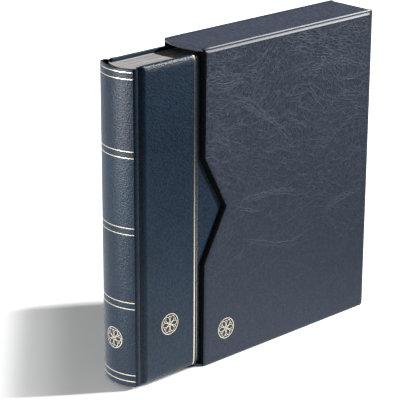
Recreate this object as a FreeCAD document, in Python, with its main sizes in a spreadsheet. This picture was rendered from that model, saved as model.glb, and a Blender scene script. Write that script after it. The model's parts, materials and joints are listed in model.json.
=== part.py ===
import FreeCAD, Part
import Sketcher
import math
import os
import re

# A padded stamp stockbook, drawn part of the way out of its slipcase. Millimetres, +Z up.
# The origin is the middle of the slipcase's base. The album's spine points to -X, its front cover to -Y.

doc = FreeCAD.newDocument("StampAlbum")

# Driving sizes
SIZES = (
    ("leaf_count", 30, "leaves in the block"),
    ("leaf_width", 213, "back edge to fore-edge"),
    ("leaf_height", 301.5, "tail to head"),
    ("leaf_thick", 0.5, "card"),
    ("leaf_pitch", 1.14, "one leaf with its pockets, interleaf and play"),
    ("block_round", 5, "rise of the rounded back of the leaves"),
    ("strip_rows", 9, "pockets on a page"),
    ("strip_gap", 5, "bare card between two pockets"),
    ("strip_border", 7.5, "leaf's tail or head to the nearest pocket"),
    ("strip_thick", 0.12, "clear strip"),
    ("strip_margin", 6, "leaf edge to the ends of a strip"),
    ("linen_width", 14, "linen hinge strip on a leaf"),
    ("linen_thick", 0.2, "linen hinge strip"),
    ("interleaf_thick", 0.08, "glassine"),
    ("interleaf_margin", 3, "how much smaller a glassine sheet is on each side"),
    ("back_lining", 1, "lining and bands on the back of the leaves"),
    ("band_height", 10, "part of a head or tail band that is glued to the leaves"),
    ("band_bead", 1.2, "part of a band that stands above the leaves"),
    ("hollow", 6, "lining to the inside of the spine"),
    ("endpaper_thick", 0.2, "pastedown and flyleaf"),
    ("endpaper_play", 0.1, "between pastedown, flyleaf and first leaf"),
    ("square", 3.5, "cover edge beyond the leaves at head and tail"),
    ("fore_square", 4.6, "cover edge beyond the leaves at the fore-edge"),
    ("cover_board", 2.5, "board of a cover"),
    ("cover_pad", 2.2, "padding of a cover"),
    ("cover_skin", 0.6, "leatherette of the album"),
    ("cover_round", 2.5, "rounding of a padded cover's edges"),
    ("turn_in", 14, "leatherette folded round to the inside"),
    ("turn_in_thick", 0.3, "the same, pared thin"),
    ("spine_board", 1.2, "curved board in the spine"),
    ("spine_round", 7, "rise of the rounded spine"),
    ("spine_inset", 1, "spine's edges inside the cover faces"),
    ("glue_gap", 0.05, "glue between curved layers"),
    ("ridge_width", 5.4, "raised shoulder beside the spine"),
    ("ridge_rise", 0.9, "shoulder above the spine's edge"),
    ("groove_width", 5.6, "pressed joint between shoulder and cover"),
    ("groove_depth", 2.7, "pressed joint below the cover face"),
    ("side_clear", 0.5, "album to slipcase wall on each side"),
    ("rest_gap", 0.2, "album to slipcase floor"),
    ("head_clear", 2.1, "album to slipcase ceiling"),
    ("rear_clear", 1.4, "album to rear wall when pushed home"),
    ("pull_out", 88, "spine beyond the slipcase's mouth, as stored"),
    ("lining", 0.3, "black lining of the slipcase"),
    ("side_board", 2, "side boards of the slipcase"),
    ("edge_board", 1.8, "top, bottom and rear boards"),
    ("side_pad", 1.2, "padding of the slipcase's sides"),
    ("case_skin", 0.5, "leatherette of the slipcase"),
    ("bevel_width", 4, "bevelled border of a padded side"),
    ("tongue", 6.5, "bulge of the top and bottom at the mouth"),
    ("corner_round", 2.2, "rear corners of the slipcase"),
    ("notch_height", 105, "thumb notch along the mouth edge"),
    ("notch_depth", 28, "thumb notch into the side"),
)

sheet = doc.addObject("Spreadsheet::Sheet", "Sizes")
for row, (alias, size, meaning) in enumerate(SIZES, 1):
    sheet.set(f"A{row}", alias)
    sheet.set(f"B{row}", str(size))
    sheet.set(f"C{row}", meaning)
    sheet.setAlias(f"B{row}", alias)
doc.recompute()

ALIASES = {alias for alias, size, meaning in SIZES}
PLACES = {}


def sized(text):
    """The expression for a formula in sizes and places, such as "square + 2 * cover_skin"."""
    def expand(match):
        word = match.group(0)
        if word in PLACES:
            return PLACES[word]
        return f"Sizes.{word}" if word in ALIASES else word
    return re.sub(r"(?<![.\w])[a-z_]+[a-z]", expand, str(text))


def place(name, text):
    """Names a place or size that follows from others."""
    PLACES[name] = f"({sized(text)})"


def number(text):
    """What a formula in sizes and places comes to."""
    return FreeCAD.Units.Quantity(str(sheet.evalExpression(sized(text)))).Value


# Across the album: distances from its middle plane, outwards
place("half_block", "leaf_count * leaf_pitch / 2")
place("fly_face", "half_block + endpaper_play")
place("paste_face", "fly_face + endpaper_thick + endpaper_play")
place("turn_face", "paste_face + endpaper_thick")
place("board_face", "turn_face + turn_in_thick")
place("pad_face", "board_face + cover_board")
place("skin_face", "pad_face + cover_pad")
place("half_album", "skin_face + cover_skin")

# Across the slipcase: distances from the middle plane, outwards
place("case_bore", "half_album + side_clear")
place("case_inner", "case_bore + lining")
place("case_outer", "case_inner + side_board")
place("case_padded", "case_outer + side_pad")
place("half_case", "case_padded + case_skin")

# Up the slipcase and the album
place("floor_board", "case_skin + edge_board")
place("floor", "floor_board + lining")
place("tail", "floor + rest_gap")
place("album_height", "leaf_height + 2 * square")
place("head", "tail + album_height")
place("ceiling", "head + head_clear")
place("case_height", "ceiling + lining + edge_board + case_skin")
place("leaf_tail", "tail + square")
place("leaf_head", "leaf_tail + leaf_height")
place("strip_height", "(leaf_height - 2 * strip_border + strip_gap) / strip_rows - strip_gap")

# Along the album, from the outermost line of its spine
place("spine_wall", "cover_skin + spine_board + turn_in_thick + 2 * glue_gap")
place("lining_play", "leaf_thick")
place("block_back", "spine_wall + hollow + back_lining + lining_play")
place("album_width", "block_back + block_round + leaf_width + fore_square")
place("ridge_end", "spine_round + ridge_width")
place("cover_start", "ridge_end + groove_width")

# Along the slipcase, mouth to rear
place("rear_wall", "case_skin + edge_board + lining")
place("case_depth", "album_width - tongue + rear_clear + rear_wall")
place("mouth", "-case_depth / 2")
place("rear", "case_depth / 2")
place("apex", "mouth - pull_out")

# Radii of the round forms, each from its chord and its rise
place("spine_chord", "half_album - spine_inset")
place("spine_radius", "(spine_chord ^ 2 + spine_round ^ 2) / (2 * spine_round)")
place("block_radius", "(half_block ^ 2 + block_round ^ 2) / (2 * block_round)")
place("tongue_radius", "(case_outer ^ 2 + tongue ^ 2) / (2 * tongue)")


def named(kind, name):
    """A new object of the document, with its Label."""
    item = doc.addObject(kind, name)
    item.Label = name
    return item


def bind(item, **formulas):
    """Binds an object's sizes to formulas."""
    for size, text in formulas.items():
        item.setExpression(size, sized(text))


def stand(item, x="0", y="0", z="0"):
    """Binds where an object stands."""
    for axis, text in (("x", x), ("y", y), ("z", z)):
        item.setExpression(f"Placement.Base.{axis}", sized(text))


def box(name, low, high):
    """A block between two corners, each given as three formulas."""
    block = named("Part::Box", name)
    spans = [f"({top}) - ({bottom})" for bottom, top in zip(low, high)]
    bind(block, Length=spans[0], Width=spans[1], Height=spans[2])
    stand(block, *low)
    return block


def cut(name, base, tool):
    """Base less tool."""
    result = named("Part::Cut", name)
    result.Base = base
    result.Tool = tool
    return result


def fuse(name, pieces):
    """Several pieces of one material made one."""
    result = named("Part::MultiFuse", name)
    result.Shapes = pieces
    result.Refine = True
    return result


def mirrored(name, source):
    """The same piece on the other side of the middle plane."""
    result = named("Part::Mirroring", name)
    result.Source = source
    result.Normal = FreeCAD.Vector(0, 1, 0)
    return result


def sector(name, radius, thick, chord, chord_radius, centre, low, high):
    """An upright curved wall, open to +X: its outer radius, its thickness and the chord that it spans."""
    spread = f"asin(({chord}) / ({chord_radius}))"
    walls = []
    for part, reach in (("outside", radius), ("inside", f"({radius}) - ({thick})")):
        wall = named("Part::Cylinder", f"{name}_{part}")
        wall.Placement.Rotation = FreeCAD.Rotation(FreeCAD.Vector(0, 0, 1), 90)
        bind(wall, Radius=reach, Angle=f"2 * {spread}", Height=f"({high}) - ({low})")
        wall.setExpression("Placement.Rotation.Angle", sized(f"180 deg - {spread}"))
        stand(wall, centre, "0", low)
        walls.append(wall)
    return cut(name, *walls)


def new_body(name):
    body = doc.addObject("PartDesign::Body", name)
    body.Label = name
    return body


def outline(body, name, role, height, corners):
    """A closed sketch on an origin plane, moved out by height. A corner is two formulas, and a third is the
    radius of the arc to the next corner, with a minus sign where that arc turns clockwise."""
    sketch = body.newObject("Sketcher::SketchObject", name)
    plane = next(item for item in body.Origin.OriginFeatures if item.Role == role)
    sketch.AttachmentSupport = [(plane, "")]
    sketch.MapMode = "FlatFace"
    sketch.setExpression("AttachmentOffset.Base.z", sized(height))
    points = [FreeCAD.Vector(number(corner[0]), number(corner[1]), 0) for corner in corners]
    ends = []
    for index, corner in enumerate(corners):
        start = points[index]
        stop = points[(index + 1) % len(points)]
        if len(corner) == 2:
            sketch.addGeometry(Part.LineSegment(start, stop), False)
            ends.append((1, 2))
            continue
        radius = number(corner[2])
        chord = stop - start
        left = FreeCAD.Vector(-chord.y, chord.x, 0).normalize()
        rise = abs(radius) - math.sqrt(radius ** 2 - (chord.Length / 2) ** 2)
        middle = (start + stop) / 2 - left * math.copysign(rise, radius)
        if radius > 0:
            sketch.addGeometry(Part.Arc(start, middle, stop), False)
            ends.append((1, 2))
        else:
            sketch.addGeometry(Part.Arc(stop, middle, start), False)
            ends.append((2, 1))
    for index, (first, last) in enumerate(ends):
        after = (index + 1) % len(ends)
        sketch.addConstraint(Sketcher.Constraint("Coincident", index, last, after, ends[after][0]))
    for index, corner in enumerate(corners):
        drivers = [("DistanceX", corner[0], points[index].x), ("DistanceY", corner[1], points[index].y)]
        for kind, text, now in drivers:
            which = sketch.addConstraint(Sketcher.Constraint(kind, -1, 1, index, ends[index][0], now))
            sketch.setExpression(f"Constraints[{which}]", sized(text))
        if len(corner) == 3:
            radius = abs(number(corner[2]))
            which = sketch.addConstraint(Sketcher.Constraint("Radius", index, radius))
            sketch.setExpression(f"Constraints[{which}]", sized(corner[2].lstrip("-")))
    return sketch


def pad(body, sketch, length, both_ways=False):
    """Thickens a sketch, away from its plane or to both sides of it."""
    feature = body.newObject("PartDesign::Pad", f"{sketch.Name}_pad")
    feature.Profile = sketch
    feature.setExpression("Length", sized(length))
    feature.SideType = "Symmetric" if both_ways else "One side"
    return feature


def rounded(body, feature, radius, chosen):
    """Rounds the edges of a feature that the test picks out."""
    doc.recompute()
    edges = [f"Edge{n}" for n, edge in enumerate(feature.Shape.Edges, 1) if chosen(edge)]
    fillet = body.newObject("PartDesign::Fillet", f"{feature.Name}_round")
    fillet.Base = (feature, edges)
    fillet.setExpression("Radius", sized(radius))
    return fillet


def rectangle(x_low, y_low, x_high, y_high):
    return [(x_low, y_low), (x_high, y_low), (x_high, y_high), (x_low, y_high)]


def in_plane(axis, position):
    """A test for edges that lie flat in a plane across one axis."""
    low, high = {"y": ("YMin", "YMax"), "z": ("ZMin", "ZMax")}[axis]
    near = 1e-4
    return lambda edge: (abs(getattr(edge.BoundBox, low) - position) < near
                         and abs(getattr(edge.BoundBox, high) - position) < near)


# Slipcase sides

def side_outline(mouth_inset, edge_inset, corner):
    """A slipcase side in X and Z: notch at the mouth, round corners at the rear, drawn in by the insets."""
    place("side_mouth", f"mouth + ({mouth_inset})")
    place("side_rear", f"rear - ({edge_inset})")
    place("side_low", f"{edge_inset}")
    place("side_high", f"case_height - ({edge_inset})")
    place("notch_slant", "sqrt(notch_depth ^ 2 + (notch_height / 2) ^ 2) / (notch_height / 2)")
    place("notch_tip", f"mouth + notch_depth + ({mouth_inset}) * notch_slant")
    place("notch_reach", "(notch_tip - side_mouth) * (notch_height / 2) / notch_depth")
    return [
        ("side_mouth", "side_low"),
        (f"side_rear - ({corner})", "side_low", corner),
        ("side_rear", f"side_low + ({corner})"),
        ("side_rear", f"side_high - ({corner})", corner),
        (f"side_rear - ({corner})", "side_high"),
        ("side_mouth", "side_high"),
        ("side_mouth", "case_height / 2 + notch_reach"),
        ("notch_tip", "case_height / 2"),
        ("side_mouth", "case_height / 2 - notch_reach"),
    ]


def slipcase_side():
    """Board, lining, padding and leatherette of the front side."""
    inner_corner = "corner_round - case_skin"
    board = new_body("slipcase_front_board")
    shape = outline(board, "front_board_outline", "XZ_Plane", "case_inner",
                    side_outline("case_skin", "case_skin", inner_corner))
    pad(board, shape, "side_board")

    lining_corner = "corner_round / 4"
    lining = new_body("slipcase_front_lining")
    corners = side_outline("case_skin", "floor_board", lining_corner)
    shape = outline(lining, "front_lining_outline", "XZ_Plane", "case_bore", corners)
    pad(lining, shape, "lining")

    padding = new_body("slipcase_front_padding")
    foot = outline(padding, "padding_foot", "XZ_Plane", "case_outer",
                   side_outline("case_skin", "case_skin", inner_corner))
    top = outline(padding, "padding_top", "XZ_Plane", "case_padded",
                  side_outline("bevel_width", "bevel_width", inner_corner))
    bevelled = padding.newObject("PartDesign::AdditiveLoft", "padding_bevel")
    bevelled.Profile = foot
    bevelled.Sections = [top]
    bevelled.Ruled = True

    envelope = new_body("front_leatherette_envelope")
    foot = outline(envelope, "leatherette_foot", "XZ_Plane", "case_outer", side_outline("0", "0", "corner_round"))
    pad(envelope, foot, "case_skin")
    raised = outline(envelope, "leatherette_edge", "XZ_Plane", "case_outer + case_skin",
                     side_outline("0", "0", "corner_round"))
    top = outline(envelope, "leatherette_top", "XZ_Plane", "half_case",
                  side_outline("bevel_width", "bevel_width", "corner_round"))
    bevelled = envelope.newObject("PartDesign::AdditiveLoft", "leatherette_bevel")
    bevelled.Profile = raised
    bevelled.Sections = [top]
    bevelled.Ruled = True
    doc.recompute()
    skin = cut("front_leatherette_skin", envelope, padding)

    turned = new_body("front_leatherette_mouth")
    outer = side_outline("0", "case_skin", inner_corner)
    outer = [tuple(sized(text) for text in corner) for corner in outer[6:9]]
    inner = side_outline("case_skin", "case_skin", inner_corner)
    inner = [tuple(sized(text) for text in corner) for corner in inner[6:9]]
    band = [("mouth", "case_skin"), outer[2], outer[1], outer[0], ("mouth", "case_height - case_skin"),
            ("mouth + case_skin", "case_height - case_skin"), inner[0], inner[1], inner[2],
            ("mouth + case_skin", "case_skin")]
    shape = outline(turned, "mouth_turn_in", "XZ_Plane", "case_inner", band)
    pad(turned, shape, "side_board")
    leatherette = fuse("slipcase_front_leatherette", [skin, turned])
    return board, lining, padding, leatherette


# Slipcase top, bottom and rear

def tongue_outline(inset, half_width, rear_end):
    """Top or bottom in X and Y: its mouth end is an arc on the tongue's circle, drawn in by the inset."""
    place("tongue_arc", f"tongue_radius - ({inset})")
    place("tongue_corner", f"mouth - tongue + tongue_radius - sqrt(tongue_arc ^ 2 - ({half_width}) ^ 2)")
    return [
        ("tongue_corner", f"-({half_width})"),
        (rear_end, f"-({half_width})"),
        (rear_end, half_width),
        ("tongue_corner", half_width, "tongue_arc"),
    ]


def slipcase_plate(name, height, thick, half_width, rear_end):
    body = new_body(name)
    shape = outline(body, f"{name}_outline", "XY_Plane", height, tongue_outline("case_skin", half_width, rear_end))
    return body, pad(body, shape, thick)


def slipcase_edges():
    """Boards, linings and the smooth strip round top, rear and bottom."""
    board_end = "rear - case_skin"
    corner = "corner_round - case_skin"
    top, plate = slipcase_plate("slipcase_top_board", "case_height - floor_board", "edge_board", "case_inner",
                                board_end)
    rear_edge = number(board_end)
    at_rear = lambda edge: edge.BoundBox.XMin > rear_edge - 1e-4
    highest = in_plane("z", number("case_height - case_skin"))
    rounded(top, plate, corner, lambda edge: at_rear(edge) and highest(edge))
    bottom, plate = slipcase_plate("slipcase_bottom_board", "case_skin", "edge_board", "case_inner", board_end)
    lowest = in_plane("z", number("case_skin"))
    rounded(bottom, plate, corner, lambda edge: at_rear(edge) and lowest(edge))
    rear = box("slipcase_rear_board", ("rear - case_skin - edge_board", "-case_inner", "floor_board"),
               ("rear - case_skin", "case_inner", "case_height - floor_board"))

    lining_end = "rear - case_skin - edge_board"
    top_lining, plate = slipcase_plate("slipcase_top_lining", "ceiling", "lining", "case_bore", lining_end)
    bottom_lining, plate = slipcase_plate("slipcase_bottom_lining", "floor_board", "lining", "case_bore",
                                          lining_end)
    rear_lining = box("slipcase_rear_lining", ("rear - rear_wall", "-case_bore", "floor"),
                      ("rear - rear_wall + lining", "case_bore", "ceiling"))

    strip = new_body("slipcase_edge_strip")
    wrap = outline(strip, "strip_wrap", "XZ_Plane", "0", [
        ("mouth - tongue", "0"),
        ("rear - corner_round", "0", "corner_round"),
        ("rear", "corner_round"),
        ("rear", "case_height - corner_round", "corner_round"),
        ("rear - corner_round", "case_height"),
        ("mouth - tongue", "case_height"),
        ("mouth - tongue", "case_height - case_skin"),
        ("rear - corner_round", "case_height - case_skin", f"-({corner})"),
        ("rear - case_skin", "case_height - corner_round"),
        ("rear - case_skin", "corner_round", f"-({corner})"),
        ("rear - corner_round", "case_skin"),
        ("mouth - tongue", "case_skin"),
    ])
    pad(strip, wrap, "2 * case_outer", both_ways=True)
    beyond = "mouth - 2 * tongue"
    waste = outline(strip, "strip_mouth", "XY_Plane", "0", [
        ("mouth", "case_outer", "tongue_radius"),
        ("mouth", "-case_outer"),
        (beyond, "-case_outer"),
        (beyond, "case_outer"),
    ])
    trimmed = strip.newObject("PartDesign::Pocket", "strip_mouth_cut")
    trimmed.Profile = waste
    trimmed.Type = "ThroughAll"
    trimmed.SideType = "Symmetric"
    for end, height in (("bottom", "case_skin"), ("top", "case_height - floor_board")):
        outer = tongue_outline("0", "case_inner", board_end)[3]
        outer = [sized(text) for text in outer]
        inner = tongue_outline("case_skin", "case_inner", board_end)[3]
        inner = [sized(text) for text in inner]
        rim = outline(strip, f"strip_{end}_rim", "XY_Plane", height, [
            (outer[0], "case_inner", outer[2]),
            (outer[0], "-case_inner"),
            (inner[0], "-case_inner", f"-{inner[2]}"),
            (inner[0], "case_inner"),
        ])
        pad(strip, rim, "edge_board")
    return top, bottom, rear, top_lining, bottom_lining, rear_lining, strip


# Album covers

def cover_plate(name, low, high, inset, x_start):
    """A plate of the front cover between two distances from the middle plane."""
    body = new_body(name)
    corners = rectangle(f"apex + ({x_start})", f"tail + ({inset})", f"apex + album_width - ({inset})",
                        f"head - ({inset})")
    shape = outline(body, f"{name}_outline", "XZ_Plane", low, corners)
    return body, pad(body, shape, f"({high}) - ({low})")


def front_cover():
    """Board, padding and folded endpaper of the front cover, and the leatherette that wraps them."""
    board_start = "cover_start + cover_skin"
    board, plate = cover_plate("front_cover_board", "board_face", "pad_face", "cover_skin", board_start)
    padding, plate = cover_plate("front_cover_padding", "pad_face", "skin_face", "cover_skin", board_start)
    rounded(padding, plate, "cover_round - cover_skin", in_plane("y", number("-skin_face")))
    envelope, plate = cover_plate("front_cover_envelope", "turn_face", "half_album", "0", "cover_start")
    rounded(envelope, plate, "cover_round", in_plane("y", number("-half_album")))

    window = box("front_turn_in_window",
                 ("apex + cover_start - cover_skin", "-board_face", "tail + cover_skin + turn_in"),
                 ("apex + album_width - cover_skin - turn_in", "-turn_face", "head - cover_skin - turn_in"))
    joint_side = box("front_joint_side",
                     ("apex + cover_start - cover_skin", "-(half_album - groove_depth)", "tail - cover_skin"),
                     ("apex + cover_start + cover_skin", "-turn_face + cover_skin", "head + cover_skin"))
    hollow = cut("front_wrap_over_board", envelope, board)
    hollow = cut("front_wrap_over_padding", hollow, padding)
    hollow = cut("front_wrap_turned_in", hollow, window)
    wrap = cut("front_wrap", hollow, joint_side)

    endpaper = new_body("front_endpaper")
    fold = "apex + block_back + block_round + endpaper_thick"
    free_end = "apex + album_width - fore_square"
    shape = outline(endpaper, "endpaper_fold", "XY_Plane", "leaf_tail", [
        (fold, "-fly_face"),
        (fold, "-turn_face"),
        (free_end, "-turn_face"),
        (free_end, "-paste_face"),
        (f"{fold} + endpaper_thick", "-paste_face"),
        (f"{fold} + endpaper_thick", "-(fly_face + endpaper_thick)"),
        (free_end, "-(fly_face + endpaper_thick)"),
        (free_end, "-fly_face"),
    ])
    pad(endpaper, shape, "leaf_height")
    return board, padding, wrap, endpaper


def front_joint():
    """Leatherette from the spine's edge over the shoulder and through the pressed groove to the cover."""
    joint = new_body("front_joint")
    ridge_radius = "(ridge_width ^ 2 / 4 + ridge_rise ^ 2) / (2 * ridge_rise)"
    groove_rise = "(groove_depth / 2)"
    groove_radius = f"(groove_width ^ 2 / 4 + {groove_rise} ^ 2) / (2 * {groove_rise})"
    place("joint_level", f"half_album - groove_depth + {groove_rise}")
    shape = outline(joint, "joint_profile", "XY_Plane", "tail", [
        ("apex + spine_round", "-spine_chord", ridge_radius),
        ("apex + ridge_end", "-joint_level", f"-({groove_radius})"),
        ("apex + cover_start + cover_skin / 2", "-joint_level"),
        ("apex + cover_start + cover_skin / 2", "-(joint_level - cover_skin)", f"({groove_radius}) + cover_skin"),
        ("apex + ridge_end - cover_skin / 2", "-(joint_level - cover_skin)",
         f"-(({ridge_radius}) - cover_skin)"),
        ("apex + spine_round + cover_skin", "-(spine_chord - cover_skin)"),
    ])
    pad(joint, shape, "album_height")
    return joint


def spine():
    """Curved spine board, and the leatherette round it, turned in at head and tail."""
    centre = "apex + spine_radius"
    board_radius = "spine_radius - cover_skin - glue_gap"
    window_radius = f"{board_radius} - spine_board - glue_gap"
    board_chord = "spine_chord - 2 * cover_skin"
    board = sector("spine_board", board_radius, "spine_board", board_chord, "spine_radius", centre,
                   "tail + cover_skin", "head - cover_skin")
    bed = sector("spine_bed", "spine_radius - cover_skin", "spine_board + 2 * glue_gap", board_chord,
                 "spine_radius", centre, "tail + cover_skin", "head - cover_skin")
    window = sector("spine_window", window_radius, "turn_in_thick + cover_skin", board_chord, "spine_radius", centre,
                    "tail + cover_skin + turn_in", "head - cover_skin - turn_in")
    envelope = sector("spine_envelope", "spine_radius", "spine_wall", "spine_chord", "spine_radius", centre,
                      "tail", "head")
    hollow = cut("spine_wrap_over_board", envelope, bed)
    return board, cut("spine_wrap", hollow, window)


# Block of leaves

def leaf_place(index):
    """Formulas for a leaf's middle, across the album, and for its back edge on the rounded back."""
    across = f"(({index} + 0.5) * leaf_pitch - half_block)"
    back = f"(apex + block_back + block_radius - sqrt(block_radius ^ 2 - {across} ^ 2))"
    return across, back


def leaves_and_hinges():
    """The leaves, each with a linen strip along its back edge."""
    leaves = []
    linens = []
    for index in range(int(number("leaf_count"))):
        across, back = leaf_place(index)
        face = f"({across} - leaf_thick / 2)"
        leaves.append(box(f"leaf_{index + 1:02d}", (back, face, "leaf_tail"),
                          (f"{back} + leaf_width", f"{face} + leaf_thick", "leaf_head")))
        linens.append(box(f"linen_strip_{index + 1:02d}", (back, f"{face} - linen_thick", "leaf_tail"),
                          (f"{back} + linen_width", face, "leaf_head")))
    hinges = named("Part::Compound", "linen_hinges")
    hinges.Links = linens
    return leaves, hinges


def interleaves():
    """A glassine sheet between each two leaves."""
    sheets = []
    for index in range(int(number("leaf_count")) - 1):
        across, back = leaf_place(index)
        face = f"({across} + leaf_thick / 2 + strip_thick + interleaf_thick)"
        sheets.append(box(f"glassine_{index + 1:02d}",
                          (f"{back} + linen_width", face, "leaf_tail + interleaf_margin"),
                          (f"{back} + leaf_width - interleaf_margin", f"{face} + interleaf_thick",
                           "leaf_head - interleaf_margin")))
    group = named("Part::Compound", "glassine_interleaves")
    group.Links = sheets
    return group


def pocket_strips():
    """Clear strips in rows on both sides of each leaf. They number hundreds, so they are copies of one strip."""
    length = number("leaf_width - linen_width - 2 * strip_margin")
    height = number("strip_height")
    thick = number("strip_thick")
    rows = int(number("strip_rows"))
    rise = number("strip_height + strip_gap")
    lowest = number("leaf_tail + strip_border")
    strip = Part.makeBox(length, thick, height)
    strips = []
    for index in range(int(number("leaf_count"))):
        across, back = leaf_place(index)
        start = number(f"{back} + linen_width + strip_margin")
        for face in (number(f"{across} - leaf_thick / 2 - strip_thick"), number(f"{across} + leaf_thick / 2")):
            for row in range(rows):
                copy = strip.copy()
                copy.translate(FreeCAD.Vector(start, face, lowest + row * rise))
                strips.append(copy)
    group = named("Part::Feature", "pocket_strips")
    group.Shape = Part.makeCompound(strips)
    return group


def block_back():
    """Lining and bands on the rounded back of the leaves."""
    centre = "apex + block_back + block_radius"
    radius = "block_radius + lining_play + back_lining"
    spans = (
        ("spine_lining", "leaf_tail + band_height", "leaf_head - band_height"),
        ("tail_band", "leaf_tail - band_bead", "leaf_tail + band_height"),
        ("head_band", "leaf_head - band_height", "leaf_head + band_bead"),
    )
    return [sector(name, radius, "back_lining", "half_block", "block_radius", centre, low, high)
            for name, low, high in spans]


def build():
    """All the pieces that are written, in the order of the assembly."""
    front_sides = slipcase_side()
    back_sides = [mirrored(piece.Label.replace("_front_", "_back_"), piece) for piece in front_sides]
    edges = slipcase_edges()

    board, padding, wrap, endpaper = front_cover()
    backs = [mirrored(piece.Label.replace("front_", "back_"), piece) for piece in (board, padding, endpaper)]
    joint = front_joint()
    spine_board, spine_wrap = spine()
    leatherette = fuse("cover_leatherette", [
        wrap,
        mirrored("back_wrap", wrap),
        joint,
        mirrored("back_joint", joint),
        spine_wrap,
    ])
    leaves, hinges = leaves_and_hinges()
    album = [board, padding, endpaper, *backs, spine_board, leatherette, hinges, interleaves(),
             pocket_strips(), *block_back(), *leaves]
    return [*front_sides, *back_sides, *edges, *album]


pieces = build()
doc.recompute()

# Every object has to be sound before anything is written
faults = [item.Label for item in doc.Objects if {"Invalid", "Error"} & set(item.State)]
faults += [piece.Label for piece in pieces if piece.Shape.isNull() or not piece.Shape.isValid()]
if faults:
    raise RuntimeError(f"These failed: {faults}")

os.makedirs("parts", exist_ok=True)
for piece in pieces:
    piece.Shape.exportStep(f"parts/{piece.Label}.step")
    print(piece.Label, len(piece.Shape.Solids), round(piece.Shape.Volume, 1))
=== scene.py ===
import json
import random
from collections import namedtuple
from math import acos, asin, cos, exp, hypot, pi, radians, sin, sqrt, tan, tau

import bpy
from mathutils import Matrix, Vector, noise
from mathutils.geometry import delaunay_2d_cdt

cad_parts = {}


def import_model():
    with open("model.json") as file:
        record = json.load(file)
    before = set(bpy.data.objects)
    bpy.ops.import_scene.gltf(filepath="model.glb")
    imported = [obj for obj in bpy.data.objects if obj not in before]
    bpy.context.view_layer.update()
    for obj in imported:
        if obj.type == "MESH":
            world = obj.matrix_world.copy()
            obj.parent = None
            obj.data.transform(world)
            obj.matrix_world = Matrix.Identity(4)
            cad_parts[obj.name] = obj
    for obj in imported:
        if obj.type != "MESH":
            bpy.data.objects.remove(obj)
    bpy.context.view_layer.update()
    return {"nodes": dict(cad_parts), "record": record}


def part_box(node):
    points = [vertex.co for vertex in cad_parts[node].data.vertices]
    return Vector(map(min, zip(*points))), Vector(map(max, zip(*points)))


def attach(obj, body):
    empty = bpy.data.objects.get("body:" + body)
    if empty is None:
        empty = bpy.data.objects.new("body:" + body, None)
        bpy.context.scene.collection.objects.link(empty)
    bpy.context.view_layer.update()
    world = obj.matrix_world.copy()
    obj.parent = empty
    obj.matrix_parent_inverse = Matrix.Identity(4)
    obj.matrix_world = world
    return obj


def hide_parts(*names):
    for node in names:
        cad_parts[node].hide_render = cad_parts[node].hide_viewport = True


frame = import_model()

# The stamp album and its slipcase: leatherette, gold tooling and paper around the CAD frame.
# Metres, +Z up, the album's spine towards -X and its front cover towards -Y.

MM = 0.001

# Places read from the frame
wrap_low, wrap_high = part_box("cover_leatherette")
APEX = wrap_low.x
TAIL = wrap_low.z
HEAD = wrap_high.z
ALBUM_WIDTH = wrap_high.x - wrap_low.x
COVER_FACE = wrap_high.y
side_low, side_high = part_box("slipcase_back_leatherette")
MOUTH = side_low.x
REAR = side_high.x
CASE_TOP = side_high.z
SIDE_FACE = side_high.y
SIDE_INNER = side_low.y
strip_low, strip_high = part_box("slipcase_edge_strip")
STRIP_HALF = strip_high.y
TONGUE = MOUTH - strip_low.x
top_low, top_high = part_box("slipcase_top_board")
EDGE_BOARD = top_high.z - top_low.z
TURN_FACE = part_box("back_endpaper")[1].y

# Sizes of the album's leatherette
SKIN = 0.6 * MM
SPINE_ROUND = 7 * MM
SPINE_CHORD = COVER_FACE - 1 * MM
SPINE_RADIUS = (SPINE_CHORD ** 2 + SPINE_ROUND ** 2) / (2 * SPINE_ROUND)
SPINE_SPREAD = asin(SPINE_CHORD / SPINE_RADIUS)
SPINE_WALL = 2.2 * MM
CREASE_DEPTH = 1.5 * MM
CREASE_WIDTH = 1.3 * MM
RIDGE_WIDTH = 5.8 * MM
RIDGE_LEVEL = COVER_FACE - 0.6 * MM
RIDGE_CRINKLE = 0.16 * MM
GROOVE_WIDTH = 5.8 * MM
VALLEY = SPINE_ROUND + RIDGE_WIDTH + 1.7 * MM
VALLEY_DEPTH = 4.2 * MM
COVER_START = SPINE_ROUND + RIDGE_WIDTH + GROOVE_WIDTH
COVER_ROUND = 2.6 * MM
FACE_START = COVER_START + 4.4 * MM
SLOPE_ROUND = 2.4 * MM
END_ROUND = 2.4 * MM
END_LENGTH = 8 * MM
COVER_CROWN = 0.6 * MM
COVER_WANDER = 0.10 * MM
INNER_ROUND = 0.4 * MM
WALL_BACK = 0.2 * MM
TURN_IN_EDGE = 0.5 * MM
JOINT_MARGINS = (0.15 * MM, 0.1 * MM)
# Depths below the cover's face over which the joint's painted shade grows
VALLEY_SHADE_DEPTHS = (1.0 * MM, 2.6 * MM)
STEEPEST = 1.2

# Ends of the leatherette: their rounding outside and inside, and how far along that reaches outside
SPINE_ENDS = Vector((0.9, 0.7, 0.9)) * MM
JOINT_ENDS = Vector((0.3, 0.2, 0.3)) * MM
GROOVE_ENDS = Vector((0.48 * MM, INNER_ROUND, 0.48 * MM))
COVER_ENDS = Vector((END_ROUND, INNER_ROUND, END_LENGTH))
FORE_EDGE_ENDS = Vector((END_ROUND, INNER_ROUND, END_ROUND))

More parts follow.
